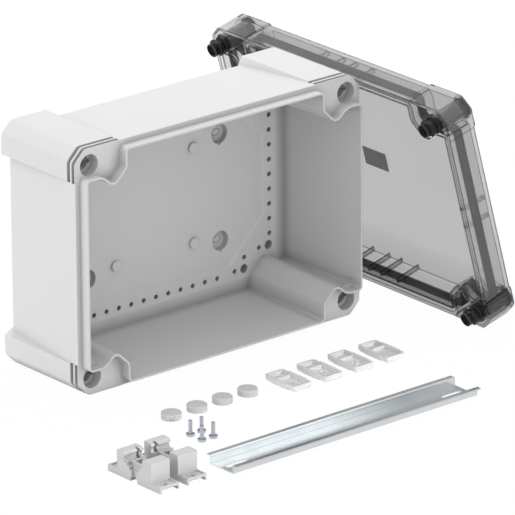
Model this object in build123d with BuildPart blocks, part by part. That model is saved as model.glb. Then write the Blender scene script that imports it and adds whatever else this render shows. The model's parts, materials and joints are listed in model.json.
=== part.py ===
"""Installation enclosure: a deep base on its long side, its see-through cover leaning on it,
and the loose fixing kit laid out on the floor in front. All sizes in millimetres, +Z up."""

import math
import os

from build123d import *

# Outer box, shared by the base and the cover
box_length = 285.0
box_width = 201.0
column_length = 44.0
column_width = 26.0
column_chamfer = 10.0
column_round = 5.0
ledge_lean = 4.0
ledge_depth = 7.0

# Base shell
base_depth = 91.0
column_foot = 3.0
wall_inset_rim = 0.3
wall_inset_back = 6.1
groove_depth = 3.0
groove_spans = ((0.7, 4.0), (5.9, 9.6))

# Cavity outline, measured inwards from the sides of the box
cavity_inset = 5.9
cavity_draft = 2.4
cavity_corner = 2.6
lobe_side = 23.5
lobe_shoulder = 20.8
lobe_shoulder_round = 13.5
lobe_nose = (30.3, 34.2)
lobe_nose_round = 7.2
lobe_top = 44.5
lobe_top_drop = 20.3
lobe_top_round = 7.0
lip_height = 9.0
lip_wall = 1.5
shoulder_stop = (11.5, 2.0, 3.0)

# Floor of the base
floor_level = 7.5
strip_level = 10.7
strip_inset = 19.0
panel_sink = 1.5
panel_length = 220.0
panel_width = 137.0
panel_corner = 35.0
panel_flank = 2.2
hole_pitch = 12.5
small_hole = 4.0
small_hole_depth = 5.5
side_row = 117.0
end_row = 75.7
side_row_count = 9
end_row_count = 11
corner_small_holes = ((106.1, 59.9), (90.7, 64.3), (80.7, 74.1))
boss_hole = 7.5
boss_hole_depth = 6.5
corner_boss_holes = ((115.8, 59.7), (90.3, 74.0))
cup_bore = 16.3
cup_depth = 5.0
cup_spacing = (134.6, 90.0)
knockout_length = 6.6
knockout_width = 5.0
knockout_score = 0.6
pry_notch = 2.6
pad_diameter = 8.5
pad_height = 2.0
pad_spacing = (79.0, 80.0)

# Fixing of the cover and of the wall lugs
screw_inset = (13.9, 13.7)
well_bore = 17.5
well_depth = 9.0
socket_bore = 12.0
socket_depth = 42.0
keyway_width = 3.4
keyway_length = 16.0
keyway_depth = 5.0
lug_bore = 2.9
lug_bore_depth = 11.0
lug_bore_inset = (20.0, 13.0)

# Cover
cover_depth = 29.0
cover_plate = 2.5
cover_wall_inset = 2.0
cover_edge_round = 4.0
channel_clear_inner = 0.3
channel_clear_outer = 0.7
channel_depth = 15.5
cover_inner_wall = 1.5
inner_wall_start = 0.6
cell_depth = 22.0
cell_wall = 2.5
rib_height = 4.0
rib_width = 1.2
rib_start = 3.0
long_rib_places = (-27.5, -7.5, 7.5, 27.5)
short_rib_places = (-8.0, 8.0)
gasket_clear = 0.1
gasket_height = 7.5
label_size = (28.0, 16.5)
label_place = (-3.2, 3.5)
label_thickness = 0.3

# Captive cover screw
screw_body = 14.0
running_clearance = 0.1
screw_head = 16.6
screw_head_height = 2.2
screw_head_clear = 0.25
screw_slot = (1.8, 11.0, 1.4)
screw_tube_wall = 1.5
collar_diameter = 14.9
collar_height = 2.2
collar_gap = 0.3
neck_diameter = 10.6
neck_length = 3.8
flange_diameter = 15.0
flange_height = 2.4
flange_flats = 12.0
nose_diameter = 11.6
nose_end = 11.4
nose_hollow = 9.6
nose_hollow_depth = 2.0
screw_stub = 13.3

# Sealing plug
plug_diameter = 16.0
plug_height = 5.0
plug_edge = 0.5
plug_wall = 2.0
plug_top = 1.8

# Wall lug
lug_length = 36.0
lug_end_width = 18.2
lug_mid_width = 20.2
lug_mid_length = 21.0
lug_height = 5.0
lug_wall = 1.4
lug_floor = 1.6
lug_corner = 2.2
lug_edge = (1.4, 1.8)
lug_rib_width = 1.3
lug_rib_place = 6.0
lug_rib_drop = 0.6
lug_slot = (7.0, 5.0)
lug_slot_place = 11.5
lug_hole = 3.6
lug_hole_place = -4.5
lug_boss = 6.6
lug_boss_height = 1.3
lug_step = (11.0, 1.2, 1.6)
lug_step_place = -10.5

# Lug screw
lug_screw_length = 13.0
lug_screw_shank = 3.3
lug_screw_head = 7.0
lug_screw_head_height = 2.3
lug_screw_dome = 1.0
lug_screw_tip = 0.4
lug_screw_cross = (3.6, 0.9)
lug_screw_cross_depth = 1.2

# Mounting rail
rail_length = 244.0
rail_width = 35.0
rail_web = 27.0
rail_height = 7.5
rail_sheet = 1.0
rail_bend_out = 1.3
rail_bend_in = 0.3
rail_slot = (20.0, 5.5)
rail_slot_margin = 4.2

# Rail support
support_width = 18.4
support_length = 62.0
support_height = 20.5
support_body = 40.0
support_valley = 20.0
support_seat = 14.0
support_valley_round = 4.0
support_seat_round = 1.5
support_wall = 1.5
support_foot_height = 5.2
support_foot_plate = 1.4
support_foot_sink = 1.0
support_foot_hole = 3.6
support_notch = (8.0, 3.0)
support_recess = (15.6, 11.2, 4.2)
support_step = (10.4, 8.4, 3.2)
support_groove = (5.4, 0.0, 2.2)
support_channel = (2.6, 5.0)
support_channel_place = 4.6
support_pocket = (6.4, 11.0, 5.0)
support_bore = 4.0

# Where things stand, from the middle of the base and its rim plane
lean_angle = 15.0
lean_gap = 0.15
cover_middle_y = 40.7
plug_first = (-113.7, -77.7)
plug_pitch = 25.3
lug_first = (-0.4, -82.0)
lug_pitch = 31.6
lug_screw_places = ((-126.0, -115.7), (-115.0, -115.7), (-126.2, -129.7), (-115.2, -129.9))
rail_middle = (-28.5, -182.5)
support_places = ((-207.3, -159.5), (-181.0, -159.5))

half_length = box_length / 2
half_width = box_width / 2
corner_signs = ((-1, -1), (1, -1), (-1, 1), (1, 1))
screw_places = [
    (sx * (half_length - screw_inset[0]), sy * (half_width - screw_inset[1])) for sx, sy in corner_signs
]

# How far the ends of a 45 degree chamfer move along the sides for each millimetre of inset
chamfer_shift = math.sqrt(2) - 1

# The cover's rim line stands on the floor and its skirt rests on the rounded corner of the base
lean_sin = math.sin(math.radians(lean_angle))
lean_cos = math.cos(math.radians(lean_angle))
skirt_wall = cavity_inset - lip_wall - channel_clear_outer
skirt_edge = box_width - skirt_wall
nose_x = half_length - column_round
nose_z = box_width - column_chamfer - column_round * math.tan(math.radians(22.5))
cover_foot_x = lean_sin * skirt_edge + nose_x
cover_foot_x += math.sqrt((column_round + lean_gap) ** 2 - (lean_cos * skirt_edge - nose_z) ** 2)

# The origin is on the floor, under the middle of the whole kit
kit_left = support_places[0][0] - support_width / 2
kit_right = cover_foot_x + lean_cos * (cover_depth - cover_edge_round) - lean_sin * cover_edge_round
kit_right += cover_edge_round
kit_front = rail_middle[1] - rail_width / 2
kit_back = cover_middle_y + half_length
middle_x = (kit_left + kit_right) / 2
middle_y = (kit_front + kit_back) / 2

base_plane = Plane(
    origin=(-middle_x, base_depth - middle_y, half_width), x_dir=(1, 0, 0), z_dir=(0, -1, 0)
)
cover_plane = Plane(
    origin=(
        cover_foot_x - middle_x - lean_sin * half_width,
        cover_middle_y - middle_y,
        lean_cos * half_width,
    ),
    x_dir=(0, 1, 0),
    z_dir=(lean_cos, 0, lean_sin),
)


def floor_plane(place):
    """Plane on the floor at a place given from the middle of the base and its rim plane."""
    return Plane(origin=(place[0] - middle_x, place[1] - middle_y, 0))


def four_ways():
    """Mirror what is drawn in the first quadrant of the sketch to the other three."""
    mirror(about=Plane.YZ)
    mirror(about=Plane.XZ)


def cavity_sketch(grow=0.0):
    """Outline of the cavity with its four corner lobes, moved outwards by grow."""
    side = half_length - cavity_inset
    top = half_width - cavity_inset
    with BuildSketch() as outline:
        with BuildLine():
            FilletPolyline(
                (side, 0),
                (side, half_width - lobe_side),
                (half_length - lobe_shoulder, half_width - lobe_side),
                (half_length - lobe_nose[0], half_width - lobe_nose[1]),
                (half_length - lobe_top, half_width - lobe_top_drop),
                (half_length - lobe_top, top),
                (0, top),
                radius=[
                    cavity_corner,
                    lobe_shoulder_round,
                    lobe_nose_round,
                    lobe_top_round,
                    cavity_corner,
                ],
            )
            Polyline((0, top), (0, 0), (side, 0))
        make_face()
        four_ways()
        if grow:
            offset(amount=grow, kind=Kind.ARC)
    return outline.sketch


def column_sketch(inset=0.0):
    """Outline of the four corner columns, with sloping ledges towards the walls."""
    with BuildSketch() as outline:
        with BuildLine():
            end = half_length - inset
            top = half_width - inset
            inner_x = half_length - column_length - ledge_lean
            inner_y = half_width - column_width - ledge_lean
            FilletPolyline(
                (half_length - column_length, top),
                (half_length - column_chamfer - inset * chamfer_shift, top),
                (end, half_width - column_chamfer - inset * chamfer_shift),
                (end, half_width - column_width),
                radius=[column_round, column_round],
            )
            Polyline(
                (end, half_width - column_width),
                (half_length - ledge_depth, inner_y),
                (inner_x, inner_y),
                (inner_x, half_width - ledge_depth),
                (half_length - column_length, top),
            )
        make_face()
        four_ways()
    return outline.sketch


def wall_box(plane, inset_low, inset_high, height):
    """Block with sloping sides that carries the walls between the columns, its corners inside them."""
    with BuildPart() as block:
        for level, inset in ((0, inset_low), (height, inset_high)):
            with BuildSketch(plane.offset(level)) as outline:
                Rectangle(box_length - 2 * inset, box_width - 2 * inset)
                chamfer(outline.vertices(), length=column_chamfer + column_round)
        loft(ruled=True)
    return block.part


# Base
with BuildPart() as base:
    add(wall_box(base_plane.offset(column_foot), wall_inset_back, wall_inset_rim, base_depth - column_foot))
    with BuildSketch(base_plane):
        add(column_sketch())
    extrude(amount=base_depth)

    # Shadow grooves round the columns, just behind the rim
    for near, far in groove_spans:
        with BuildSketch(base_plane.offset(base_depth - far)):
            add(column_sketch())
            add(column_sketch(groove_depth), mode=Mode.SUBTRACT)
        extrude(amount=far - near, mode=Mode.SUBTRACT)

    # Sealing lip
    with BuildSketch(base_plane.offset(base_depth)):
        add(cavity_sketch(lip_wall))
    extrude(amount=lip_height)

    # Cavity, with draft up to the rim and straight inside the lip
    with BuildSketch(base_plane.offset(floor_level)):
        add(cavity_sketch(-cavity_draft))
    with BuildSketch(base_plane.offset(base_depth)):
        add(cavity_sketch())
    loft(ruled=True, mode=Mode.SUBTRACT)
    with BuildSketch(base_plane.offset(base_depth)):
        add(cavity_sketch())
    extrude(amount=lip_height, mode=Mode.SUBTRACT)

    # Raised floor with sloping flanks and a sunk middle panel
    with BuildSketch(base_plane.offset(floor_level)):
        Rectangle(
            box_length - 2 * (cavity_inset + cavity_draft), box_width - 2 * (cavity_inset + cavity_draft)
        )
    with BuildSketch(base_plane.offset(strip_level)):
        Rectangle(box_length - 2 * strip_inset, box_width - 2 * strip_inset)
    loft(ruled=True)
    panel_level = strip_level - panel_sink
    for level, inset in ((strip_level, -panel_flank / 2), (panel_level, panel_flank / 2)):
        with BuildSketch(base_plane.offset(level)) as panel:
            Rectangle(panel_length - 2 * inset, panel_width - 2 * inset)
            chamfer(panel.vertices(), length=panel_corner - inset * (1 - chamfer_shift))
    loft(ruled=True, mode=Mode.SUBTRACT)

    # Rows of fixing holes in the raised strip
    with BuildSketch(base_plane.offset(strip_level)):
        with GridLocations(2 * side_row, hole_pitch, 2, side_row_count):
            Circle(small_hole / 2)
        with GridLocations(hole_pitch, 2 * end_row, end_row_count, 2):
            Circle(small_hole / 2)
        for x, y in corner_small_holes:
            with GridLocations(2 * x, 2 * y, 2, 2):
                Circle(small_hole / 2)
    extrude(amount=-small_hole_depth, mode=Mode.SUBTRACT)
    with BuildSketch(base_plane.offset(strip_level)):
        for x, y in corner_boss_holes:
            with GridLocations(2 * x, 2 * y, 2, 2):
                Circle(boss_hole / 2)
    extrude(amount=-boss_hole_depth, mode=Mode.SUBTRACT)

    # Cups for the wall screws, with a scored knock-out and a notch to lift the plug
    with BuildSketch(base_plane.offset(panel_level)):
        with GridLocations(*cup_spacing, 2, 2):
            Circle(cup_bore / 2)
    extrude(amount=-cup_depth, mode=Mode.SUBTRACT)
    with BuildSketch(base_plane.offset(panel_level)):
        with GridLocations(*cup_spacing, 2, 2):
            with Locations((0, -cup_bore / 2)):
                Circle(pry_notch / 2)
    extrude(amount=-pry_notch / 2, mode=Mode.SUBTRACT)
    with BuildSketch(base_plane.offset(panel_level - cup_depth)):
        with GridLocations(*cup_spacing, 2, 2):
            SlotOverall(knockout_length + 2 * knockout_score, knockout_width + 2 * knockout_score)
            SlotOverall(knockout_length, knockout_width, mode=Mode.SUBTRACT)
    extrude(amount=-knockout_score, mode=Mode.SUBTRACT)
    with BuildSketch(base_plane.offset(panel_level)):
        with GridLocations(*pad_spacing, 2, 2):
            Circle(pad_diameter / 2)
    extrude(amount=pad_height)

    # Low stops on the shoulders of the lobes, just behind the rim
    stop_length, stop_height, stop_depth = shoulder_stop
    with BuildSketch(base_plane.offset(base_depth - stop_depth)):
        with GridLocations(
            box_length - 2 * cavity_inset - stop_length, box_width - 2 * lobe_side - stop_height, 2, 2
        ):
            Rectangle(stop_length, stop_height)
    extrude(amount=stop_depth)

    # Wells and keyed sockets that take the cover screws
    with BuildSketch(base_plane.offset(base_depth)):
        with Locations(*screw_places):
            Circle(well_bore / 2)
    extrude(amount=-well_depth, mode=Mode.SUBTRACT)
    with BuildSketch(base_plane.offset(base_depth - well_depth)):
        with Locations(*screw_places):
            Circle(socket_bore / 2)
    extrude(amount=-(socket_depth - well_depth), mode=Mode.SUBTRACT)
    with BuildSketch(base_plane.offset(base_depth - well_depth)):
        with Locations(*screw_places):
            Rectangle(keyway_length, keyway_width)
    extrude(amount=-keyway_depth, mode=Mode.SUBTRACT)

    # Pilot bores for the wall lugs in the feet of the columns
    with BuildSketch(base_plane):
        with GridLocations(
            box_length - 2 * lug_bore_inset[0], box_width - 2 * lug_bore_inset[1], 2, 2
        ):
            Circle(lug_bore / 2)
    extrude(amount=lug_bore_depth, mode=Mode.SUBTRACT)

# Cover
plate_level = cover_depth - cover_plate
channel_outer = lip_wall + channel_clear_outer
cover_bore = screw_body + 2 * running_clearance
cover_axis = Axis(cover_plane.origin, cover_plane.z_dir)

with BuildPart() as cover_corners:
    with BuildSketch(cover_plane):
        add(column_sketch())
    extrude(amount=cover_depth)
    fillet(cover_corners.faces().group_by(cover_axis)[-1].edges(), radius=cover_edge_round)

with BuildPart() as cover_walls:
    add(wall_box(cover_plane, wall_inset_rim, cover_wall_inset, cover_depth))
    fillet(cover_walls.faces().group_by(cover_axis)[-1].edges(), radius=cover_edge_round)

with BuildPart() as cover:
    add(cover_walls.part)
    add(cover_corners.part)

    # Inside of the cover, and the channel round it that takes the gasket and the lip
    with BuildSketch(cover_plane):
        add(cavity_sketch(-channel_clear_inner - cover_inner_wall))
    extrude(amount=plate_level, mode=Mode.SUBTRACT)
    with BuildSketch(cover_plane):
        add(cavity_sketch(-channel_clear_inner))
    extrude(amount=inner_wall_start, mode=Mode.SUBTRACT)
    with BuildSketch(cover_plane):
        add(cavity_sketch(channel_outer))
        add(cavity_sketch(-channel_clear_inner), mode=Mode.SUBTRACT)
    extrude(amount=channel_depth, mode=Mode.SUBTRACT)

    # Hollow corner cells round the screw tubes
    with BuildSketch(cover_plane) as cells:
        with BuildSketch(mode=Mode.PRIVATE) as cell_limit:
            Rectangle(box_length - 2 * cell_wall, box_width - 2 * cell_wall)
            chamfer(cell_limit.vertices(), length=column_chamfer - cell_wall * (1 - chamfer_shift))
        add(cell_limit.sketch)
        add(cavity_sketch(channel_outer + cell_wall), mode=Mode.SUBTRACT)
        with Locations(*screw_places):
            Circle(cover_bore / 2 + screw_tube_wall, mode=Mode.SUBTRACT)
    extrude(amount=cell_depth, mode=Mode.SUBTRACT)

    # Stiffening ribs inside the long and short walls
    inner_face = cavity_inset + channel_clear_inner + cover_inner_wall
    rib_root = rib_height + cover_inner_wall / 2
    with BuildSketch(cover_plane.offset(rib_start)):
        for x in long_rib_places:
            for side in (-1, 1):
                with Locations((x, side * (half_width - inner_face - rib_height + rib_root / 2))):
                    Rectangle(rib_width, rib_root)
        for y in short_rib_places:
            for side in (-1, 1):
                with Locations((side * (half_length - inner_face - rib_height + rib_root / 2), y)):
                    Rectangle(rib_root, rib_width)
    extrude(amount=plate_level - rib_start)

    # Bores and counterbores for the captive screws
    with BuildSketch(cover_plane):
        with Locations(*screw_places):
            Circle(cover_bore / 2)
    extrude(amount=cover_depth, mode=Mode.SUBTRACT)
    with BuildSketch(cover_plane.offset(cover_depth)):
        with Locations(*screw_places):
            Circle(screw_head / 2 + screw_head_clear)
    extrude(amount=-(screw_head_height + running_clearance), mode=Mode.SUBTRACT)

# Gasket at the bottom of the channel
with BuildPart() as gasket:
    with BuildSketch(cover_plane.offset(channel_depth - gasket_height)):
        add(cavity_sketch(channel_outer - gasket_clear))
        add(cavity_sketch(-channel_clear_inner + gasket_clear), mode=Mode.SUBTRACT)
    extrude(amount=gasket_height)

# Bare label on the inside of the cover
with BuildPart() as inner_label:
    with BuildSketch(cover_plane.offset(plate_level - label_thickness)):
        with Locations(label_place):
            Rectangle(*label_size)
    extrude(amount=label_thickness)


def make_cover_screw(place):
    """Captive quarter-turn screw, from its slotted head down to its hollow nose."""
    with BuildPart() as screw:
        level = cover_depth
        with BuildSketch(cover_plane.offset(level)):
            with Locations(place):
                Circle(screw_head / 2)
        extrude(amount=-screw_head_height)
        with BuildSketch(cover_plane.offset(level)):
            with Locations(place):
                Rectangle(screw_slot[1], screw_slot[0])
                Rectangle(screw_slot[0], screw_slot[1])
        extrude(amount=-screw_slot[2], mode=Mode.SUBTRACT)
        level -= screw_head_height
        with BuildSketch(cover_plane.offset(-collar_gap)):
            with Locations(place):
                Circle(screw_body / 2)
        extrude(amount=level + collar_gap)
        level = -collar_gap
        for diameter, length in (
            (collar_diameter, collar_height),
            (neck_diameter, neck_length),
        ):
            with BuildSketch(cover_plane.offset(level)):
                with Locations(place):
                    Circle(diameter / 2)
            extrude(amount=-length)
            level -= length
        with BuildSketch(cover_plane.offset(level)):
            with Locations(place):
                Circle(flange_diameter / 2)
                Rectangle(flange_diameter, flange_flats, mode=Mode.INTERSECT)
        extrude(amount=-flange_height)
        level -= flange_height
        with BuildSketch(cover_plane.offset(level)):
            with Locations(place):
                Circle(nose_diameter / 2)
        with BuildSketch(cover_plane.offset(-screw_stub)):
            with Locations(place):
                Circle(nose_end / 2)
        loft()
        with BuildSketch(cover_plane.offset(-screw_stub)):
            with Locations(place):
                Circle(nose_hollow / 2)
        extrude(amount=nose_hollow_depth, mode=Mode.SUBTRACT)
    return screw


def make_plug(place):
    """Round sealing plug for a cup, hollow underneath."""
    with BuildPart() as plug:
        with BuildSketch(floor_plane(place)):
            Circle(plug_diameter / 2)
        extrude(amount=plug_height)
        chamfer(plug.faces().sort_by(Axis.Z)[-1].edges(), length=plug_edge)
        with BuildSketch(floor_plane(place)):
            Circle(plug_diameter / 2 - plug_wall)
        extrude(amount=plug_height - plug_top, mode=Mode.SUBTRACT)
    return plug


def lug_sketch(inset=0.0):
    """Outline of a wall lug, wider in the middle than at its ends, moved inwards by inset."""
    with BuildSketch() as outline:
        Rectangle(lug_end_width, lug_length)
        Rectangle(lug_mid_width, lug_mid_length)
        fillet(outline.vertices().group_by(Axis.Y)[0], radius=lug_corner)
        fillet(outline.vertices().group_by(Axis.Y)[-1], radius=lug_corner)
        if inset:
            offset(amount=-inset, kind=Kind.INTERSECTION)
    return outline.sketch


def make_wall_lug(place):
    """External wall lug: an open tray with a cross rib, a slot and a screw hole."""
    plane = floor_plane(place)
    with BuildPart() as lug:
        with BuildSketch(plane):
            add(lug_sketch(lug_edge[0]))
        with BuildSketch(plane.offset(lug_edge[1])):
            add(lug_sketch())
        loft(ruled=True)
        with BuildSketch(plane.offset(lug_edge[1])):
            add(lug_sketch())
        extrude(amount=lug_height - lug_edge[1])
        with BuildSketch(plane.offset(lug_floor)):
            Rectangle(lug_end_width - 2 * lug_wall, lug_length - 2 * lug_wall)
        extrude(amount=lug_height - lug_floor, mode=Mode.SUBTRACT)
        with BuildSketch(plane.offset(lug_floor)):
            with Locations((0, lug_rib_place)):
                Rectangle(lug_end_width - 2 * lug_wall, lug_rib_width)
        extrude(amount=lug_height - lug_floor - lug_rib_drop)
        with BuildSketch(plane.offset(lug_floor)):
            with Locations((0, lug_step_place)):
                Rectangle(lug_step[0], lug_step[1])
        extrude(amount=lug_step[2])
        with BuildSketch(plane.offset(lug_floor)):
            with Locations((0, lug_hole_place)):
                Circle(lug_boss / 2)
        extrude(amount=lug_boss_height)
        with BuildSketch(plane):
            with Locations((0, lug_hole_place)):
                Circle(lug_hole / 2)
            with Locations((0, lug_slot_place)):
                SlotOverall(*lug_slot)
        extrude(amount=lug_height, mode=Mode.SUBTRACT)
    return lug


def make_lug_screw(place):
    """Pan-head screw standing on its head."""
    plane = floor_plane(place)
    with BuildPart() as screw:
        with BuildSketch(plane):
            Circle(lug_screw_head / 2)
        extrude(amount=lug_screw_head_height)
        fillet(screw.faces().sort_by(Axis.Z)[0].edges(), radius=lug_screw_dome)
        with BuildSketch(plane):
            Rectangle(*lug_screw_cross)
            Rectangle(*reversed(lug_screw_cross))
        extrude(amount=lug_screw_cross_depth, mode=Mode.SUBTRACT)
        with BuildSketch(plane.offset(lug_screw_head_height)):
            Circle(lug_screw_shank / 2)
        extrude(amount=lug_screw_length - lug_screw_head_height)
        chamfer(screw.faces().sort_by(Axis.Z)[-1].edges(), length=lug_screw_tip)
    return screw


def make_rail_support(place, hand):
    """Raised support with a saddle for the rail and a screw foot at each end, left or right handed."""
    plane = floor_plane(place)
    side_plane = Plane(plane.origin - Vector(support_width / 2, 0, 0), x_dir=(0, 1, 0), z_dir=(1, 0, 0))
    foot_length = (support_length - support_body) / 2
    foot_middle = (support_body + foot_length) / 2
    foot_inside = support_width - 2 * support_wall
    with BuildPart() as support:
        with BuildSketch(side_plane):
            with BuildLine():
                FilletPolyline(
                    (0, support_seat),
                    (support_valley / 2, support_seat),
                    (support_valley / 2, support_height),
                    (support_body / 2, support_height),
                    radius=[support_seat_round, support_valley_round],
                )
                Polyline(
                    (support_body / 2, support_height),
                    (support_body / 2, support_foot_height),
                    (support_length / 2, support_foot_height),
                    (support_length / 2, 0),
                    (support_notch[0] / 2, 0),
                    (support_notch[0] / 2, support_notch[1]),
                    (0, support_notch[1]),
                    (0, support_seat),
                )
            make_face()
            mirror(about=Plane.YZ)
        extrude(amount=support_width)
        block_length = (support_body - support_valley) / 2
        with BuildSketch(plane.offset(support_seat)):
            with Locations((0, -(support_body - block_length) / 2)):
                Rectangle(support_width, block_length)
        extrude(amount=support_height - support_seat)

        # Each foot is a plate between two side walls, sunk a little and open underneath
        for end in (-1, 1):
            with BuildSketch(plane):
                with Locations((0, end * foot_middle)):
                    Rectangle(foot_inside, foot_length)
            extrude(
                amount=support_foot_height - support_foot_sink - support_foot_plate, mode=Mode.SUBTRACT
            )
            with BuildSketch(plane.offset(support_foot_height)):
                with Locations((0, end * (foot_middle - support_wall / 2))):
                    Rectangle(foot_inside, foot_length - support_wall)
            extrude(amount=-support_foot_sink, mode=Mode.SUBTRACT)
            with BuildSketch(plane):
                with Locations((0, end * foot_middle)):
                    Circle(support_foot_hole / 2)
            extrude(amount=support_foot_height, mode=Mode.SUBTRACT)

        # Stepped recesses up both sides, a narrow channel in the rear block, the pocket and its bore
        for length, level, depth in (support_recess, support_step, support_groove):
            with BuildSketch(plane.offset(level)):
                with GridLocations(support_width - depth, 0, 2, 1):
                    Rectangle(depth, length)
            extrude(amount=support_seat - level, mode=Mode.SUBTRACT)
        with BuildSketch(plane.offset(support_recess[1])):
            with Locations((hand * support_channel_place, (support_valley + support_channel[1]) / 2)):
                Rectangle(*support_channel)
        extrude(amount=support_height - support_recess[1], mode=Mode.SUBTRACT)
        with BuildSketch(plane.offset(support_seat)):
            Rectangle(support_pocket[0], support_pocket[1])
        extrude(amount=-support_pocket[2], mode=Mode.SUBTRACT)
        with BuildSketch(plane):
            Circle(support_bore / 2)
        extrude(amount=support_seat, mode=Mode.SUBTRACT)
    return support


# Mounting rail, a hat section lying open side up
rail_plane = Plane(
    Vector(rail_middle[0] - rail_length / 2 - middle_x, rail_middle[1] - middle_y, 0),
    x_dir=(0, 1, 0),
    z_dir=(1, 0, 0),
)
with BuildPart() as mounting_rail:
    with BuildSketch(rail_plane):
        with BuildLine():
            FilletPolyline(
                (0, 0),
                (rail_web / 2, 0),
                (rail_web / 2, rail_height - rail_sheet),
                (rail_width / 2, rail_height - rail_sheet),
                radius=[rail_bend_out, rail_bend_in],
            )
            Line((rail_width / 2, rail_height - rail_sheet), (rail_width / 2, rail_height))
            FilletPolyline(
                (rail_width / 2, rail_height),
                (rail_web / 2 - rail_sheet, rail_height),
                (rail_web / 2 - rail_sheet, rail_sheet),
                (0, rail_sheet),
                radius=[rail_bend_out, rail_bend_in],
            )
            Line((0, rail_sheet), (0, 0))
        make_face()
        mirror(about=Plane.YZ)
    extrude(amount=rail_length)
    with BuildSketch(floor_plane(rail_middle)):
        with GridLocations(rail_length - 2 * rail_slot_margin - rail_slot[0], 0, 2, 1):
            SlotOverall(*rail_slot)
    extrude(amount=rail_sheet, mode=Mode.SUBTRACT)

pieces = {
    "base": base,
    "cover": cover,
    "gasket": gasket,
    "inner_label": inner_label,
    "mounting_rail": mounting_rail,
}
for count, place in enumerate(screw_places, start=1):
    pieces[f"cover_screw_{count}"] = make_cover_screw(place)
for count in range(4):
    pieces[f"plug_{count + 1}"] = make_plug((plug_first[0] + count * plug_pitch, plug_first[1]))
    pieces[f"wall_lug_{count + 1}"] = make_wall_lug((lug_first[0] + count * lug_pitch, lug_first[1]))
for count, place in enumerate(lug_screw_places, start=1):
    pieces[f"lug_screw_{count}"] = make_lug_screw(place)
for count, (place, hand) in enumerate(zip(support_places, (1, -1)), start=1):
    pieces[f"rail_support_{count}"] = make_rail_support(place, hand)

os.makedirs("parts", exist_ok=True)
for name, piece in pieces.items():
    piece.part.label = name
    export_step(piece.part, f"parts/{name}.step")
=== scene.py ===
"""Looks of the installation enclosure: finishes for every piece, the foam seal, the threaded lug
screws, the groove in the rail supports, and a plain pale studio. Lengths are in metres."""

import json
import math

import bmesh
import bpy
from mathutils import Matrix, Vector

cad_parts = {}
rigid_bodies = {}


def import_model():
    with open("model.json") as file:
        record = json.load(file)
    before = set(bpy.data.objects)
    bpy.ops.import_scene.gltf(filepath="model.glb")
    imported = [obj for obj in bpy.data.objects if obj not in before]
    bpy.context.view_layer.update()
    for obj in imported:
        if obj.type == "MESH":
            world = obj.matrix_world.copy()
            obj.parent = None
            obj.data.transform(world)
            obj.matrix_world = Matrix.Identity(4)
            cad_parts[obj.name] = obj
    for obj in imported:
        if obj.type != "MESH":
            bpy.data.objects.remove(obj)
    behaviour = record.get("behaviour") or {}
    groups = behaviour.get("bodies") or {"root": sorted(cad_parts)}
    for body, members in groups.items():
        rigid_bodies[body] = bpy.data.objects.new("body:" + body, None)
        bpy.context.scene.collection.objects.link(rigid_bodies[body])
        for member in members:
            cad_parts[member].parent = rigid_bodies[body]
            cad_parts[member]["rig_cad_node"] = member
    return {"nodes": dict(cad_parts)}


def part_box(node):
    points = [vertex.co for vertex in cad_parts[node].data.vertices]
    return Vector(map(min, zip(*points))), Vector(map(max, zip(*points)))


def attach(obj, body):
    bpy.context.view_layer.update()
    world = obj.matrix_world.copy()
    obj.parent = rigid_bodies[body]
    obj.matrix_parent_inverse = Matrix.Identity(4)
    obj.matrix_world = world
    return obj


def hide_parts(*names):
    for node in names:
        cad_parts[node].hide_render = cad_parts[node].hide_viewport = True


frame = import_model()

bl_info = {
    "name": "Installation enclosure looks",
    "version": (1, 0, 0),
    "blender": (4, 5, 0),
    "location": "3D View > Sidebar > Enclosure",
    "description": "Finishes and studio for a plastic installation enclosure and its loose kit",
    "category": "Object",
}

BODY = "kit"
COVER_SCREWS = [f"cover_screw_{n}" for n in range(1, 5)]
PLUGS = [f"plug_{n}" for n in range(1, 5)]
WALL_LUGS = [f"wall_lug_{n}" for n in range(1, 5)]
LUG_SCREWS = [f"lug_screw_{n}" for n in range(1, 5)]
SUPPORTS = [f"rail_support_{n}" for n in range(1, 3)]

COVER_LEAN = math.radians(15)
COVER_AXIS = (math.cos(COVER_LEAN), 0.0, math.sin(COVER_LEAN))  # square to the cover's plate
BASE_DEPTH = 0.091  # from the base's back to its rim
GROOVE_BEHIND = 0.0102  # from the middle of a rail support back to its groove
GROOVE_HEIGHT = 0.0158  # of the groove's middle above the floor
SEAL_VOXEL = 0.0007  # of the even skin that the foam seal gets
WELD = 0.000001  # vertices nearer than this are one


# --- Settings -------------------------------------------------------------------------------


def colour_property(name, description, default):
    return bpy.props.FloatVectorProperty(
        name=name,
        description=description,
        default=default,
        subtype="COLOR",
        size=3,
        min=0.0,
        max=1.0,
    )


def length_property(name, description, default):
    return bpy.props.FloatProperty(
        name=name, description=description, default=default, unit="LENGTH", min=0.0, precision=5
    )


def share_property(name, description, default):
    return bpy.props.FloatProperty(
        name=name, description=description, default=default, subtype="FACTOR", min=0.0, max=1.0
    )


def angle_property(name, description, degrees):
    return bpy.props.FloatProperty(
        name=name, description=description, default=math.radians(degrees), subtype="ANGLE"
    )


def power_property(name, description, default):
    return bpy.props.FloatProperty(
        name=name, description=description, default=default, unit="POWER"
    )


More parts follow.
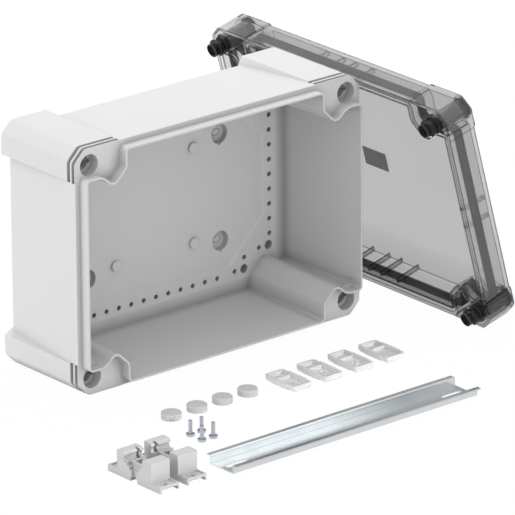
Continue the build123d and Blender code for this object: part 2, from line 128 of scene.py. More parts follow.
class EnclosureColours(bpy.types.PropertyGroup):
    """Colours of the finishes"""

    base: colour_property("Base", "Light grey of the base moulding", (0.60, 0.60, 0.60))
    kit: colour_property("Kit", "Light grey of the plugs and supports", (0.475, 0.475, 0.475))
    lug: colour_property("Wall lugs", "Pale grey of the wall lugs", (0.58, 0.58, 0.58))
    smoke: colour_property("Cover sides", "Tint of the cover's clear walls", (0.92, 0.92, 0.924))
    plate: colour_property("Cover plate", "Tint of the cover's plate", (0.57, 0.57, 0.575))
    # Painted shade: colour of the dark line along the cover's edges.
    edge_line_shade: colour_property("Cover edges", "Tint along the cover's edges", (0.03, 0.03, 0.031))
    smoke_depth: colour_property(
        "Cover depth", "What is left of light deep in the cover", (0.02, 0.02, 0.024)
    )
    seal: colour_property("Seal", "Foam rubber in the cover's channel", (0.05, 0.05, 0.051))
    screw: colour_property("Cover screws", "Near-black of the screws", (0.006, 0.006, 0.0062))
    zinc: colour_property("Rail", "Zinc of the mounting rail", (0.94, 0.98, 1.0))
    steel: colour_property("Lug screws", "Bright plate of the lug screws", (0.50, 0.53, 0.60))
    label: colour_property("Label", "Plain dark film inside the cover", (0.150, 0.150, 0.153))


class EnclosureSurface(bpy.types.PropertyGroup):
    """Fine surface detail of the finishes"""

    grain_size: length_property("Grain size", "Size of the fine moulded grain", 0.0006)
    grain_depth: length_property("Grain depth", "Depth of the fine moulded grain", 0.00002)
    edge_round: length_property("Edge rounding", "How wide an edge catches the light", 0.0006)
    # Painted shade: how far out from a crease its colour is darkened.
    crease_reach: length_property("Crease reach", "How far out a crease dims the surface", 0.010)
    # Painted shade: width of the dark line along the cover's edges.
    clear_edge: length_property("Clear edges", "Width of the dark line on a cover edge", 0.0016)
    # Painted shade: the cover's colour darkens towards the floor, standing in for reflections;
    # these two set how much and how high.
    foot_shade_share: share_property(
        "Clear foot", "Share of its tint that the cover keeps at the floor", 0.45
    )
    foot_shade_height: length_property(
        "Clear foot height", "Height over which the cover clears up", 0.04
    )
    hook_radius: length_property("Hook groove", "Radius of a rail support's groove", 0.0026)
    pore_size: length_property("Pore size", "Size of the pores of the foam seal", 0.0008)
    thread_pitch: length_property("Thread pitch", "Pitch of the lug screw thread", 0.0014)
    thread_depth: length_property("Thread depth", "Depth of the lug screw thread", 0.00022)


class EnclosureStudio(bpy.types.PropertyGroup):
    """Camera and light"""

    azimuth: angle_property("Azimuth", "Camera's turn about the enclosure", -39.78)
    elevation: angle_property("Elevation", "Camera's height above the horizon", 20.53)
    roll: angle_property("Roll", "Camera's tilt about its own line of sight", -0.36)
    distance: length_property("Distance", "From the camera to the foot of the rim", 5.28064)
    slide: length_property("Slide", "How far the camera stands to the right", 0.02843)
    lift: length_property("Lift", "How far the camera stands upwards", 0.07572)
    lens: bpy.props.FloatProperty(
        name="Lens", description="Focal length on a 36 mm frame", default=472.15, unit="CAMERA"
    )
    key_power: power_property("Key light", "Power of the lamp high behind", 7.6)
    side_power: power_property("Side light", "Power of the lamp on the left, behind", 35.0)
    fill_power: power_property("Fill light", "Power of the low lamp in front", 10.0)
    kit_power: power_property("Kit light", "Power of the narrow low lamp on the kit", 0.04)
    sky: bpy.props.FloatProperty(
        name="Sky", description="Strength of the even light all round", default=1.0, min=0.0
    )
    floor_size: length_property("Floor", "Side of the square floor", 12.0)


# --- Node helpers ---------------------------------------------------------------------------


MIX_SOCKETS = {"FLOAT": (2, 3, 0), "RGBA": (6, 7, 2)}  # first and second input, and output


def feed(tree, socket, value):
    """Link a socket to another node's output, or set it to a plain value."""
    if isinstance(value, bpy.types.NodeSocket):
        tree.links.new(value, socket)
    else:
        socket.default_value = value


def node(tree, kind, **values):
    """Add a node; a value named after an attribute is set there, any other on its socket."""
    made = tree.nodes.new(kind)
    for name, value in values.items():
        if hasattr(made, name):
            setattr(made, name, value)
        else:
            feed(tree, made.inputs[name.replace("_", " ")], value)
    return made


def maths(tree, operation, first, second=0.0):
    """One plain sum, difference, product or the like of two values."""
    made = node(tree, "ShaderNodeMath", operation=operation)
    feed(tree, made.inputs[0], first)
    feed(tree, made.inputs[1], second)
    return made.outputs["Value"]


def ranged(tree, value, start, end, low=0.0, high=1.0, interpolation="LINEAR"):
    """Goes from low to high as the value goes from start to end, and no further."""
    made = node(
        tree,
        "ShaderNodeMapRange",
        clamp=True,
        interpolation_type=interpolation,
        Value=value,
        From_Min=start,
        From_Max=end,
        To_Min=low,
        To_Max=high,
    )
    return made.outputs["Result"]


def mixed(tree, share, first, second, kind="RGBA"):
    """Goes from the first colour or number to the second as the share goes from 0 to 1."""
    start, end, result = MIX_SOCKETS[kind]
    made = node(tree, "ShaderNodeMix", data_type=kind)
    feed(tree, made.inputs[0], share)
    feed(tree, made.inputs[start], first)
    feed(tree, made.inputs[end], second)
    return made.outputs[result]


def scaled(tree, colour, share):
    """A colour times a number."""
    made = node(tree, "ShaderNodeVectorMath", operation="SCALE", Scale=share)
    feed(tree, made.inputs[0], colour)
    return made.outputs["Vector"]


def alignment(tree, first, second):
    """One where two directions lie along one line, down to zero where they are square."""
    dot = node(tree, "ShaderNodeVectorMath", operation="DOT_PRODUCT")
    feed(tree, dot.inputs[0], first)
    feed(tree, dot.inputs[1], second)
    return maths(tree, "ABSOLUTE", dot.outputs["Value"])


def edge_mask(tree, edge):
    """One along the edges that a bevel node rounds, zero on flat faces."""
    flat, turned = 0.995, 0.93
    shape = node(tree, "ShaderNodeNewGeometry")
    facing = alignment(tree, edge.outputs["Normal"], shape.outputs["Normal"])
    return ranged(tree, facing, flat, turned)


def seen_directly(tree):
    """One where the camera, a reflection or a look through the cover meets the surface."""
    path = node(tree, "ShaderNodeLightPath").outputs
    first = maths(tree, "MAXIMUM", path["Is Camera Ray"], path["Is Glossy Ray"])
    return maths(tree, "MAXIMUM", first, path["Is Transmission Ray"])


# --- Effects --------------------------------------------------------------------------------


def group(name, inputs, outputs):
    """Start a shader node group; gives its tree, what is handed in and what it puts out."""
    tree = bpy.data.node_groups.new(name, "ShaderNodeTree")
    for label, kind, default in inputs:
        socket = tree.interface.new_socket(label, in_out="INPUT", socket_type=kind)
        socket.default_value = default
    for label, kind in outputs:
        tree.interface.new_socket(label, in_out="OUTPUT", socket_type=kind)
    given, made = tree.nodes.new("NodeGroupInput"), tree.nodes.new("NodeGroupOutput")
    return tree, given.outputs, made.inputs


def moulded_group():
    """Moulded plastic: fine grain, faint flow shading, painted crease shade and edge highlights.
    """
    tree, given, made = group(
        "Moulded surface",
        [
            ("Colour", "NodeSocketColor", (0.6, 0.6, 0.6, 1.0)),
            ("Roughness", "NodeSocketFloat", 0.5),
            ("Grain Scale", "NodeSocketFloat", 1500.0),
            ("Grain Depth", "NodeSocketFloat", 0.00002),
            ("Edge Radius", "NodeSocketFloat", 0.0006),
            ("Edge Light", "NodeSocketFloat", 0.25),
            ("Crease Reach", "NodeSocketFloat", 0.01),
            ("Crease Depth", "NodeSocketFloat", 0.5),
        ],
        [
            ("Colour", "NodeSocketColor"),
            ("Roughness", "NodeSocketFloat"),
            ("Normal", "NodeSocketVector"),
        ],
    )
    flow_dark, flow_light = 0.97, 1.02
    grain_spread = 0.05
    # Pale grey of the painted highlight along edges.
    highlight_tone = (0.92, 0.92, 0.92, 1.0)

    place = node(tree, "ShaderNodeTexCoord").outputs["Object"]
    flow = node(tree, "ShaderNodeTexNoise", Vector=place, Scale=9.0, Detail=3.0, Roughness=0.5)
    grain = node(tree, "ShaderNodeTexNoise", Vector=place, Detail=2.0, Roughness=0.6)
    feed(tree, grain.inputs["Scale"], given["Grain Scale"])
    edge = node(tree, "ShaderNodeBevel", samples=6, Radius=given["Edge Radius"])
    crease = node(tree, "ShaderNodeAmbientOcclusion", samples=8, Distance=given["Crease Reach"])

    shade = ranged(tree, flow.outputs["Fac"], 0.0, 1.0, flow_dark, flow_light)
    # Painted shade: an occlusion node darkens the colour in creases; a Crease Depth below zero
    # paints light there instead.
    shut = maths(tree, "SUBTRACT", 1.0, crease.outputs["AO"])
    dim = maths(tree, "MULTIPLY", shut, given["Crease Depth"])
    tone = scaled(tree, given["Colour"], maths(tree, "SUBTRACT", shade, dim))
    # Painted highlight: the colour is mixed towards pale grey along edges.
    edge_highlight = maths(tree, "MULTIPLY", edge_mask(tree, edge), given["Edge Light"])
    feed(tree, made["Colour"], mixed(tree, edge_highlight, tone, highlight_tone))

    spread = ranged(tree, grain.outputs["Fac"], 0.0, 1.0, -grain_spread, grain_spread)
    feed(tree, made["Roughness"], maths(tree, "ADD", spread, given["Roughness"]))

    bump = node(
        tree,
        "ShaderNodeBump",
        Strength=1.0,
        Distance=given["Grain Depth"],
        Height=grain.outputs["Fac"],
        Normal=edge.outputs["Normal"],
    )
    feed(tree, made["Normal"], bump.outputs["Normal"])
    return tree


def plated_group():
    """Metal plate: faint drawn lines, soft clouds, and painted shade at edges, far end and front.
    """
    tree, given, made = group(
        "Plated metal",
        [
            ("Colour", "NodeSocketColor", (0.75, 0.78, 0.78, 1.0)),
            ("Roughness", "NodeSocketFloat", 0.25),
            ("Line Scale", "NodeSocketVector", (6.0, 1200.0, 1200.0)),
            ("Cloud", "NodeSocketFloat", 0.12),
            ("Edge Radius", "NodeSocketFloat", 0.0004),
            ("Edge Shade", "NodeSocketFloat", 1.0),
            ("Far Shade", "NodeSocketFloat", 1.0),
            ("Front Shade", "NodeSocketFloat", 1.0),
        ],
        [
            ("Colour", "NodeSocketColor"),
            ("Roughness", "NodeSocketFloat"),
            ("Normal", "NodeSocketVector"),
        ],
    )
    full_tone = 1.05
    smoothest, roughest = -0.06, 0.10
    far_start, far_end = 0.42, 0.82  # shares of the piece's length
    front_web, front_start, front_end = 0.14, 0.15, 0.13  # shares of the piece's width

    place = node(tree, "ShaderNodeTexCoord")
    stretch = node(tree, "ShaderNodeVectorMath", operation="MULTIPLY")
    feed(tree, stretch.inputs[0], place.outputs["Object"])
    feed(tree, stretch.inputs[1], given["Line Scale"])
    drawn = node(
        tree, "ShaderNodeTexNoise", Vector=stretch.outputs["Vector"], Scale=1.0, Detail=2.0
    )
    clouds = node(
        tree, "ShaderNodeTexNoise", Vector=place.outputs["Object"], Scale=60.0, Detail=3.0
    )
    across = node(tree, "ShaderNodeSeparateXYZ", Vector=place.outputs["Generated"])
    edge = node(tree, "ShaderNodeBevel", samples=4, Radius=given["Edge Radius"])

    dark = maths(tree, "MULTIPLY", clouds.outputs["Fac"], given["Cloud"])
    share = maths(tree, "SUBTRACT", full_tone, dark)
    inside = maths(tree, "GREATER_THAN", across.outputs["Y"], front_web)
    along = maths(tree, "MULTIPLY", across.outputs["X"], inside)
    # Painted shade: darker towards the far end and on the front web, standing in for reflections,
    # and along edges and bends.
    for value, start, end, name in (
        (along, far_start, far_end, "Far Shade"),
        (across.outputs["Y"], front_start, front_end, "Front Shade"),
        (edge_mask(tree, edge), 0.0, 1.0, "Edge Shade"),
    ):
        shade = ranged(tree, value, start, end, 1.0, given[name], "SMOOTHSTEP")
        share = maths(tree, "MULTIPLY", share, shade)
    feed(tree, made["Colour"], scaled(tree, given["Colour"], share))

    spread = ranged(tree, clouds.outputs["Fac"], 0.0, 1.0, smoothest, roughest)
    feed(tree, made["Roughness"], maths(tree, "ADD", spread, given["Roughness"]))

    bump = node(
        tree,
        "ShaderNodeBump",
        Strength=0.35,
        Distance=0.00001,
        Height=drawn.outputs["Fac"],
        Normal=edge.outputs["Normal"],
    )
    feed(tree, made["Normal"], bump.outputs["Normal"])
    return tree


def clear_group():
    """Smoke-clear plastic: tints for walls and plate, painted shade at edges and low down."""
    tree, given, made = group(
        "Clear plastic",
        [
            ("Side Tint", "NodeSocketColor", (0.84, 0.84, 0.845, 1.0)),
            ("Plate Tint", "NodeSocketColor", (0.58, 0.58, 0.585, 1.0)),
            ("Edge Tint", "NodeSocketColor", (0.3, 0.3, 0.305, 1.0)),
            ("Plate Axis", "NodeSocketVector", COVER_AXIS),
            ("Edge Radius", "NodeSocketFloat", 0.0014),
            ("Foot Shade", "NodeSocketFloat", 0.45),
            ("Foot Height", "NodeSocketFloat", 0.04),
        ],
        [("Colour", "NodeSocketColor"), ("Roughness", "NodeSocketFloat")],
    )
    plate_start, plate_end = 0.97, 0.995  # how nearly a face is square to the plate's axis
    plate_relief = 0.6  # share of the foot's shade that the plate is spared
    smoothest, roughest = 0.02, 0.06

    place = node(tree, "ShaderNodeTexCoord")
    facing = alignment(tree, place.outputs["Normal"], given["Plate Axis"])
    plate = ranged(tree, facing, plate_start, plate_end)
    tint = mixed(tree, plate, given["Side Tint"], given["Plate Tint"])
    edge = node(tree, "ShaderNodeBevel", samples=6, Radius=given["Edge Radius"])
    # Painted shade: a dark line along the cover's edges.
    lined = mixed(tree, edge_mask(tree, edge), tint, given["Edge Tint"])

    # Painted shade: darker towards the floor, standing in for reflections, with the plate spared
    # part of it.
    height = node(tree, "ShaderNodeSeparateXYZ", Vector=place.outputs["Object"]).outputs["Z"]
    foot = ranged(tree, height, 0.0, given["Foot Height"], given["Foot Shade"], 1.0)
    spared = maths(tree, "MULTIPLY", plate, plate_relief)
    feed(tree, made["Colour"], scaled(tree, lined, mixed(tree, spared, foot, 1.0, "FLOAT")))

    haze = node(tree, "ShaderNodeTexNoise", Vector=place.outputs["Object"], Scale=40.0, Detail=2.0)
    rough = ranged(tree, haze.outputs["Fac"], 0.0, 1.0, smoothest, roughest)
    feed(tree, made["Roughness"], rough)
    return tree


def effect(build, name):
    """The node group of that name, built the first time it is asked for."""
    return bpy.data.node_groups.get(name) or build()


# --- Materials ------------------------------------------------------------------------------


def new_material(name, **shader):
    """A material whose constants stand on the shader's own sockets."""
    made = bpy.data.materials.new(name)
    made.use_nodes = True
    face = made.node_tree.nodes["Principled BSDF"]
    for label, value in shader.items():
        face.inputs[label.replace("_", " ")].default_value = value
    return made, made.node_tree, face


def place_group(tree, face, effect_tree, **values):
    """Place an effect in a material and feed the shader with what it puts out."""
    box = tree.nodes.new("ShaderNodeGroup")
    box.node_tree = effect_tree
    for label, value in values.items():
        box.inputs[label.replace("_", " ")].default_value = value
    tree.links.new(box.outputs["Colour"], face.inputs["Base Color"])
    tree.links.new(box.outputs["Roughness"], face.inputs["Roughness"])
    if "Normal" in box.outputs:
        tree.links.new(box.outputs["Normal"], face.inputs["Normal"])


def moulded_material(name, colour, surface, roughness, edge_light, crease, **shader):
    """A moulded plastic with painted crease shade; a crease value below zero paints light there.
    """
    made, tree, face = new_material(name, **shader)
    place_group(
        tree,
        face,
        effect(moulded_group, "Moulded surface"),
        Colour=(*colour, 1.0),
        Roughness=roughness,
        Grain_Scale=1.0 / surface.grain_size,
        Grain_Depth=surface.grain_depth,
        Edge_Radius=surface.edge_round,
        Edge_Light=edge_light,
        Crease_Reach=surface.crease_reach,
        Crease_Depth=crease,
    )
    return made


def foam_material(colour, pore_size):
    """Foam rubber with darker pores."""
    pore_share, pore_end = 0.45, 0.4
    made, tree, face = new_material("Seal foam", Roughness=0.85, IOR=1.4)
    place = node(tree, "ShaderNodeTexCoord").outputs["Object"]
    pores = node(tree, "ShaderNodeTexVoronoi", Vector=place, Scale=1.0 / pore_size)
    depth = pores.outputs["Distance"]
    tone = node(tree, "ShaderNodeValToRGB", Fac=depth)
    tone.color_ramp.elements[0].color = (*(pore_share * c for c in colour), 1.0)
    tone.color_ramp.elements[1].color = (*colour, 1.0)
    tone.color_ramp.elements[1].position = pore_end
    tree.links.new(tone.outputs["Color"], face.inputs["Base Color"])
    bump = node(tree, "ShaderNodeBump", Strength=0.6, Distance=0.0002, Height=depth)
    tree.links.new(bump.outputs["Normal"], face.inputs["Normal"])
    return made


def dress(name, material):
    """Give a CAD node its finish."""
    piece = frame["nodes"][name]
    for slot in piece.material_slots:
        slot.material = material
    if not piece.material_slots:
        piece.data.materials.append(material)


# --- Meshes ---------------------------------------------------------------------------------


def mesh_piece(name, verts, faces, material, body):
    """A new mesh that rides on a body and takes the finish it is given."""
    mesh = bpy.data.meshes.new(name)
    mesh.from_pydata(verts, [], faces)
    mesh.validate()
    piece = bpy.data.objects.new(name, mesh)
    bpy.context.scene.collection.objects.link(piece)
    piece.data.materials.append(material)
    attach(piece, body)
    return piece


def keep_modified(piece, material):
    """Make what the modifiers give the piece's own mesh, smooth and all of one material."""
    bpy.context.view_layer.update()
    seen = piece.evaluated_get(bpy.context.evaluated_depsgraph_get())
    shaped = bpy.data.meshes.new_from_object(seen)
    piece.modifiers.clear()
    piece.data = shaped
    shaped.materials.clear()
    shaped.materials.append(material)
    for face in shaped.polygons:
        face.use_smooth = True


def foam_seal(material):
    """The seal in the place of the CAD gasket, with an even skin and soft edges."""
    seal = bpy.data.objects.new("seal", frame["nodes"]["gasket"].data.copy())
    bpy.context.scene.collection.objects.link(seal)
    remesh = seal.modifiers.new("Even skin", "REMESH")
    remesh.mode = "VOXEL"
    remesh.voxel_size = SEAL_VOXEL
    soften = seal.modifiers.new("Soft edges", "SMOOTH")
    soften.factor = 0.5
    soften.iterations = 3
    keep_modified(seal, material)
    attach(seal, BODY)
    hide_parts("gasket")


def hooked_support(name, material, radius):
    """A rail support with the round groove under its rear block's lip, which hooks the rail."""
    source = frame["nodes"][name]
    solid = bpy.data.meshes.new(name)
    shape = bmesh.new()
    shape.from_mesh(source.data)
    bmesh.ops.remove_doubles(shape, verts=shape.verts, dist=WELD)
    shape.to_mesh(solid)
    shape.free()
    if "custom_normal" in solid.attributes:
        solid.attributes.remove(solid.attributes["custom_normal"])
    support = bpy.data.objects.new(f"{name}_hooked", solid)
    support.matrix_world = source.matrix_world.copy()
    bpy.context.scene.collection.objects.link(support)

    groove = groove_cutter(name, radius)
    cut = support.modifiers.new("Hook groove", "BOOLEAN")
    cut.operation = "DIFFERENCE"
    cut.solver = "EXACT"
    cut.object = groove
    keep_modified(support, material)
    bpy.data.objects.remove(groove)
    support.data.set_sharp_from_angle(angle=math.radians(25))
    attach(support, BODY)
    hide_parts(name)


def groove_cutter(name, radius):
    """A round bar across a rail support, a little longer than the support is wide."""
    overhang = 1.2
    low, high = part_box(name)
    middle = (low + high) / 2
    spot = Matrix.Translation((middle.x, middle.y + GROOVE_BEHIND, GROOVE_HEIGHT))
    shape = bmesh.new()
    bmesh.ops.create_cone(
        shape,
        cap_ends=True,
        segments=32,
        radius1=radius,
        radius2=radius,
        depth=overhang * (high.x - low.x),
        matrix=spot @ Matrix.Rotation(math.radians(90), 4, "Y"),
    )
    bar = bpy.data.meshes.new("groove")
    shape.to_mesh(bar)
    shape.free()
    groove = bpy.data.objects.new("groove", bar)
    bpy.context.scene.collection.objects.link(groove)
    return groove


def threaded_screw(low, high, pitch, depth):
    """Verts and faces of a pan-head screw standing on its head, with a helical thread."""
    middle = (low + high) / 2
    head = (high.x - low.x) / 2
    height = high.z - low.z
    head_height, dome, shank = 0.0023, 0.001, 0.00165
    dimple, dimple_edge, crown = 0.0008, 0.35 * head, 0.72 * head
    rim_bevel = 0.0002
    tip_slope, tip_share = 0.0008, 0.8
    flank = 3.4  # how steep the sides of the thread are
    around, rows, dome_steps = 32, 60, 5

    profile = [(dimple_edge, 0.0), (crown, 0.0)]
    for step in range(1, dome_steps + 1):
        turn = math.radians(90 * step / dome_steps)
        profile.append((head - dome + dome * math.sin(turn), dome - dome * math.cos(turn)))
    profile += [(head, head_height - rim_bevel), (head - rim_bevel, head_height)]

    verts = [(middle.x, middle.y, low.z + dimple)]
    rings = []

    def add_ring(level, radii):
        rings.append(len(verts))
        for n, radius in enumerate(radii):
            turn = 2 * math.pi * n / around
            x, y = middle.x + radius * math.cos(turn), middle.y + radius * math.sin(turn)
            verts.append((x, y, low.z + level))

    for radius, level in profile:
        add_ring(level, [radius] * around)
    for row in range(rows + 1):
        level = head_height + (height - head_height) * row / rows
        taper = min(1.0, (height - level) / tip_slope + tip_share)
        phases = [(level / pitch - n / around) % 1.0 for n in range(around)]
        crests = [max(0.0, 1.0 - abs(phase - 0.5) * flank) for phase in phases]
        add_ring(level, [(shank - depth + depth * crest) * taper for crest in crests])

    faces = [(0, rings[0] + (n + 1) % around, rings[0] + n) for n in range(around)]
    for first, second in zip(rings, rings[1:]):
        for n in range(around):
            after = (n + 1) % around
            faces.append((first + n, first + after, second + after, second + n))
    faces.append(tuple(rings[-1] + n for n in range(around)))
    return verts, faces


# --- Operators ------------------------------------------------------------------------------


class ENCLOSURE_OT_base(bpy.types.Operator):
    """Light grey moulded finish of the base"""

    bl_idname = "enclosure.base"
    bl_label = "Base"

    def execute(self, context):
        colours, surface = context.scene.enclosure_colours, context.scene.enclosure_surface
        finish = moulded_material(
            "Base grey",
            colours.base,
            surface,
            roughness=0.42,
            # Painted highlight on edges and painted shade in creases.
            edge_light=0.22,
            crease=0.50,
            IOR=1.45,
        )
        dress("base", finish)
        return {"FINISHED"}


class ENCLOSURE_OT_kit(bpy.types.Operator):
    """Moulded finish of the plugs, wall lugs and rail supports, and the supports' groove"""

    bl_idname = "enclosure.kit"
    bl_label = "Plugs, lugs and supports"

    def execute(self, context):
        colours, surface = context.scene.enclosure_colours, context.scene.enclosure_surface
        finish = moulded_material(
            "Kit grey",
            colours.kit,
            surface,
            roughness=0.48,
            # Painted highlight on edges and painted shade in creases.
            edge_light=0.12,
            crease=0.12,
            IOR=1.45,
        )
        pale = moulded_material(
            "Lug grey",
            colours.lug,
            surface,
            roughness=0.48,
            # Faint painted highlight on edges; a crease below zero paints light into the creases.
            edge_light=0.06,
            crease=-0.35,
            IOR=1.45,
        )
        for name in PLUGS:
            dress(name, finish)
        for name in SUPPORTS:
            hooked_support(name, finish, surface.hook_radius)
        for name in WALL_LUGS:
            dress(name, pale)
        return {"FINISHED"}


class ENCLOSURE_OT_cover(bpy.types.Operator):
    """Hazy smoke-clear finish of the cover, darker where thick, painted shade at edges and foot"""

    bl_idname = "enclosure.cover"
    bl_label = "Cover"

    def execute(self, context):
        colours, surface = context.scene.enclosure_colours, context.scene.enclosure_surface
        made, tree, face = new_material("Smoke clear", Transmission_Weight=0.945, IOR=1.10)
        place_group(
            tree,
            face,
            effect(clear_group, "Clear plastic"),
            Side_Tint=(*colours.smoke, 1.0),
            Plate_Tint=(*colours.plate, 1.0),
            Edge_Tint=(*colours.edge_line_shade, 1.0),
            Plate_Axis=COVER_AXIS,
            Edge_Radius=surface.clear_edge,
            Foot_Shade=surface.foot_shade_share,
            Foot_Height=surface.foot_shade_height,
        )
        deep = (*colours.smoke_depth, 1.0)
        depth = node(tree, "ShaderNodeVolumeAbsorption", Density=22.0, Color=deep)
        output = tree.nodes["Material Output"]
        tree.links.new(depth.outputs["Volume"], output.inputs["Volume"])
        dress("cover", made)
        return {"FINISHED"}


class ENCLOSURE_OT_gasket(bpy.types.Operator):
    """Foam rubber seal in the channel of the cover"""

    bl_idname = "enclosure.gasket"
    bl_label = "Seal"

    def execute(self, context):
        colours, surface = context.scene.enclosure_colours, context.scene.enclosure_surface
        foam_seal(foam_material(colours.seal, surface.pore_size))
        return {"FINISHED"}


class ENCLOSURE_OT_label(bpy.types.Operator):
    """Plain dark film inside the cover"""

    bl_idname = "enclosure.label"
    bl_label = "Label"

    def execute(self, context):
        colours, surface = context.scene.enclosure_colours, context.scene.enclosure_surface
        film = moulded_material(
            "Label film",
            colours.label,
            surface,
            roughness=0.45,
            # Faint painted highlight on edges, and no painted shade in creases.
            edge_light=0.10,
            crease=0.0,
            IOR=1.45,
        )
        dress("inner_label", film)
        return {"FINISHED"}


class ENCLOSURE_OT_cover_screws(bpy.types.Operator):
    """Near-black finish of the captive cover screws"""

    bl_idname = "enclosure.cover_screws"
    bl_label = "Cover screws"

    def execute(self, context):
        colours, surface = context.scene.enclosure_colours, context.scene.enclosure_surface
        finish = moulded_material(
            "Screw black",
            colours.screw,
            surface,
            roughness=0.30,
            # Painted highlight on edges and deep painted shade in creases.
            edge_light=0.14,
            crease=0.9,
            IOR=1.25,
        )
        for name in COVER_SCREWS:
            dress(name, finish)
        return {"FINISHED"}


class ENCLOSURE_OT_rail(bpy.types.Operator):
    """Zinc of the mounting rail with painted shade at its right end, front web and edges"""

    bl_idname = "enclosure.rail"
    bl_label = "Mounting rail"

    def execute(self, context):
        colours = context.scene.enclosure_colours
        made, tree, face = new_material("Zinc", Metallic=1.0)
        place_group(
            tree,
            face,
            effect(plated_group, "Plated metal"),
            Colour=(*colours.zinc, 1.0),
            Roughness=0.22,
            Cloud=0.10,
            Edge_Radius=0.0006,
            Edge_Shade=0.5,
            Far_Shade=0.66,
            Front_Shade=0.68,
        )
        dress("mounting_rail", made)
        return {"FINISHED"}


class ENCLOSURE_OT_lug_screws(bpy.types.Operator):
    """Bright pan-head screws with a rolled thread, standing on their heads"""

    bl_idname = "enclosure.lug_screws"
    bl_label = "Lug screws"

    def execute(self, context):
        colours, surface = context.scene.enclosure_colours, context.scene.enclosure_surface
        made, tree, face = new_material("Bright plate", Metallic=1.0)
        place_group(
            tree,
            face,
            effect(plated_group, "Plated metal"),
            Colour=(*colours.steel, 1.0),
            Roughness=0.28,
            Line_Scale=(300.0, 300.0, 300.0),
            Cloud=0.15,
        )
        for name in LUG_SCREWS:
            low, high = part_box(name)
            verts, faces = threaded_screw(low, high, surface.thread_pitch, surface.thread_depth)
            piece = mesh_piece(f"{name}_threaded", verts, faces, made, BODY)
            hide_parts(name)
        return {"FINISHED"}


class ENCLOSURE_OT_studio(bpy.types.Operator):
    """Pale floor, soft light and the camera"""

    bl_idname = "enclosure.studio"
    bl_label = "Studio"

    def execute(self, context):
        studio = context.scene.enclosure_studio
        self.camera(context, studio)
        self.floor(context, studio)
        self.light(context, studio)
        context.scene.view_settings.view_transform = "Standard"
        return {"FINISHED"}

    def toward(self, azimuth, elevation):
        """The direction from the enclosure to what stands at these angles."""
        across = math.cos(elevation)
        return Vector(
            (math.sin(azimuth) * across, -math.cos(azimuth) * across, math.sin(elevation))
        )

    def camera(self, context, studio):
        """The camera, placed from the foot of the base's rim."""
        low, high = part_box("base")
        rim = Vector(((low.x + high.x) / 2, high.y - BASE_DEPTH, 0.0))
        back = self.toward(studio.azimuth, studio.elevation)
        right = Vector((math.cos(studio.azimuth), math.sin(studio.azimuth), 0.0))
        up = back.cross(right)
        across = right * math.cos(studio.roll) + up * math.sin(studio.roll)
        upward = up * math.cos(studio.roll) - right * math.sin(studio.roll)
        camera = bpy.data.objects.new("Camera", bpy.data.cameras.new("Camera"))
        context.scene.collection.objects.link(camera)
        camera.data.sensor_width = 36.0
        camera.data.lens = studio.lens
        camera.data.clip_start = 0.1
        camera.data.clip_end = 60.0
        spot = rim + across * studio.slide + upward * studio.lift + back * studio.distance
        turn = Matrix((across, upward, back)).transposed().to_4x4()
        camera.matrix_world = Matrix.Translation(spot) @ turn
        context.scene.camera = camera

    def floor(self, context, studio):
        """A pale floor that is white where it is looked at, and still keeps a shadow."""
        white_share = 0.97
        mesh = bpy.data.meshes.new("studio_floor")
        shape = bmesh.new()
        bmesh.ops.create_grid(shape, x_segments=4, y_segments=4, size=studio.floor_size / 2)
        shape.to_mesh(mesh)
        shape.free()
        floor = bpy.data.objects.new("studio_floor", mesh)
        context.scene.collection.objects.link(floor)
        pale = (0.86, 0.86, 0.86, 1.0)
        made, tree, face = new_material("Pale floor", Base_Color=pale, Roughness=0.9)
        glow = node(tree, "ShaderNodeEmission", Strength=1.0, Color=(1.0, 1.0, 1.0, 1.0))
        mix = node(tree, "ShaderNodeMixShader")
        feed(tree, mix.inputs[0], maths(tree, "MULTIPLY", seen_directly(tree), white_share))
        tree.links.new(face.outputs["BSDF"], mix.inputs[1])
        tree.links.new(glow.outputs["Emission"], mix.inputs[2])
        tree.links.new(mix.outputs["Shader"], tree.nodes["Material Output"].inputs["Surface"])
        mesh.materials.append(made)

    def light(self, context, studio):
        """Four lamps, and an even world that is always white where it is looked at."""
        world = bpy.data.worlds.new("Studio")
        context.scene.world = world
        world.use_nodes = True
        tree = world.node_tree
        sky = tree.nodes["Background"]
        sky.inputs["Color"].default_value = (1.0, 1.0, 1.0, 1.0)
        feed(tree, sky.inputs["Strength"], ranged(tree, seen_directly(tree), 0.0, 1.0, studio.sky))

        self.lamp(
            context,
            "Key",
            studio.key_power,
            size=0.45,
            azimuth=180,
            elevation=70,
            distance=1.5,
            shift=(0.5, 0.0, 0.0),
        )
        self.lamp(context, "Side", studio.side_power, size=1.2, azimuth=-110, elevation=20)
        self.lamp(context, "Fill", studio.fill_power, size=1.2, azimuth=0, elevation=12)
        kit = self.lamp(
            context,
            "Kit",
            studio.kit_power,
            size=0.46,
            azimuth=8,
            elevation=20,
            distance=0.45,
            shift=(-0.04, -0.11, 0.0),
        )
        kit.shape = "RECTANGLE"
        kit.size_y = 0.06
        kit.spread = math.radians(8)

    def lamp(
        self, context, name, power, size, azimuth, elevation, distance=4.0, shift=(0.0, 0.0, 0.0)
    ):
        """A round lamp that faces the enclosure, unseen itself; its angles are in degrees."""
        lamp = bpy.data.lights.new(name, "AREA")
        lamp.shape = "DISK"
        lamp.size = size
        lamp.energy = power
        made = bpy.data.objects.new(name, lamp)
        context.scene.collection.objects.link(made)
        aim = self.toward(math.radians(azimuth), math.radians(elevation))
        made.location = aim * distance + Vector(shift)
        made.rotation_mode = "QUATERNION"
        made.rotation_quaternion = aim.to_track_quat("Z", "Y")
        made.visible_camera = False
        made.visible_glossy = False
        return lamp


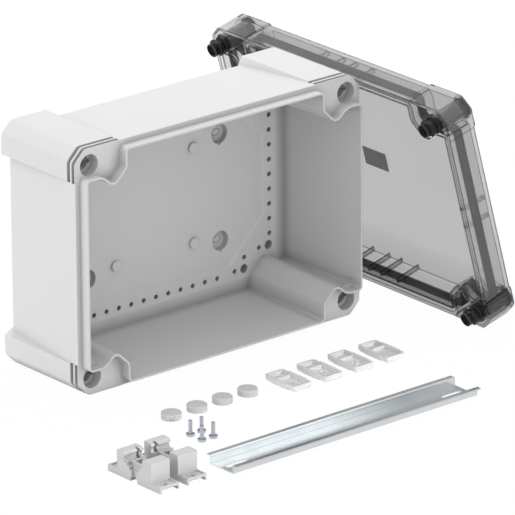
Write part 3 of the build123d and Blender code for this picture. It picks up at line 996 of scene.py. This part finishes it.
class ENCLOSURE_PT_panel(bpy.types.Panel):
    """Pieces and settings of the enclosure"""

    bl_idname = "ENCLOSURE_PT_panel"
    bl_label = "Enclosure"
    bl_space_type = "VIEW_3D"
    bl_region_type = "UI"
    bl_category = "Enclosure"

    def draw(self, context):
        for group_name in SETTINGS:
            settings = getattr(context.scene, group_name)
            column = self.layout.column(align=True)
            for name in settings.__annotations__:
                column.prop(settings, name)
        for step in STEPS:
            self.layout.operator(step.bl_idname)


SETTINGS = {
    "enclosure_colours": EnclosureColours,
    "enclosure_surface": EnclosureSurface,
    "enclosure_studio": EnclosureStudio,
}
STEPS = (
    ENCLOSURE_OT_studio,
    ENCLOSURE_OT_base,
    ENCLOSURE_OT_kit,
    ENCLOSURE_OT_cover,
    ENCLOSURE_OT_gasket,
    ENCLOSURE_OT_label,
    ENCLOSURE_OT_cover_screws,
    ENCLOSURE_OT_rail,
    ENCLOSURE_OT_lug_screws,
)


def register():
    for name, settings in SETTINGS.items():
        bpy.utils.register_class(settings)
        setattr(bpy.types.Scene, name, bpy.props.PointerProperty(type=settings))
    for step in STEPS:
        bpy.utils.register_class(step)
    bpy.utils.register_class(ENCLOSURE_PT_panel)


def unregister():
    bpy.utils.unregister_class(ENCLOSURE_PT_panel)
    for step in reversed(STEPS):
        bpy.utils.unregister_class(step)
    for name, settings in SETTINGS.items():
        delattr(bpy.types.Scene, name)
        bpy.utils.unregister_class(settings)


def clear_defaults():
    """Take away the cube, lamp and camera that a new file brings."""
    for name in ("Cube", "Light", "Camera"):
        old = bpy.data.objects.get(name)
        if old and "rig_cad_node" not in old:
            bpy.data.objects.remove(old)


def main():
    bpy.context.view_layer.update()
    register()
    bpy.ops.enclosure.studio()
    bpy.ops.enclosure.base()
    bpy.ops.enclosure.kit()
    bpy.ops.enclosure.cover()
    bpy.ops.enclosure.gasket()
    bpy.ops.enclosure.label()
    bpy.ops.enclosure.cover_screws()
    bpy.ops.enclosure.rail()
    bpy.ops.enclosure.lug_screws()


if __name__ == "__main__":
    clear_defaults()
    main()
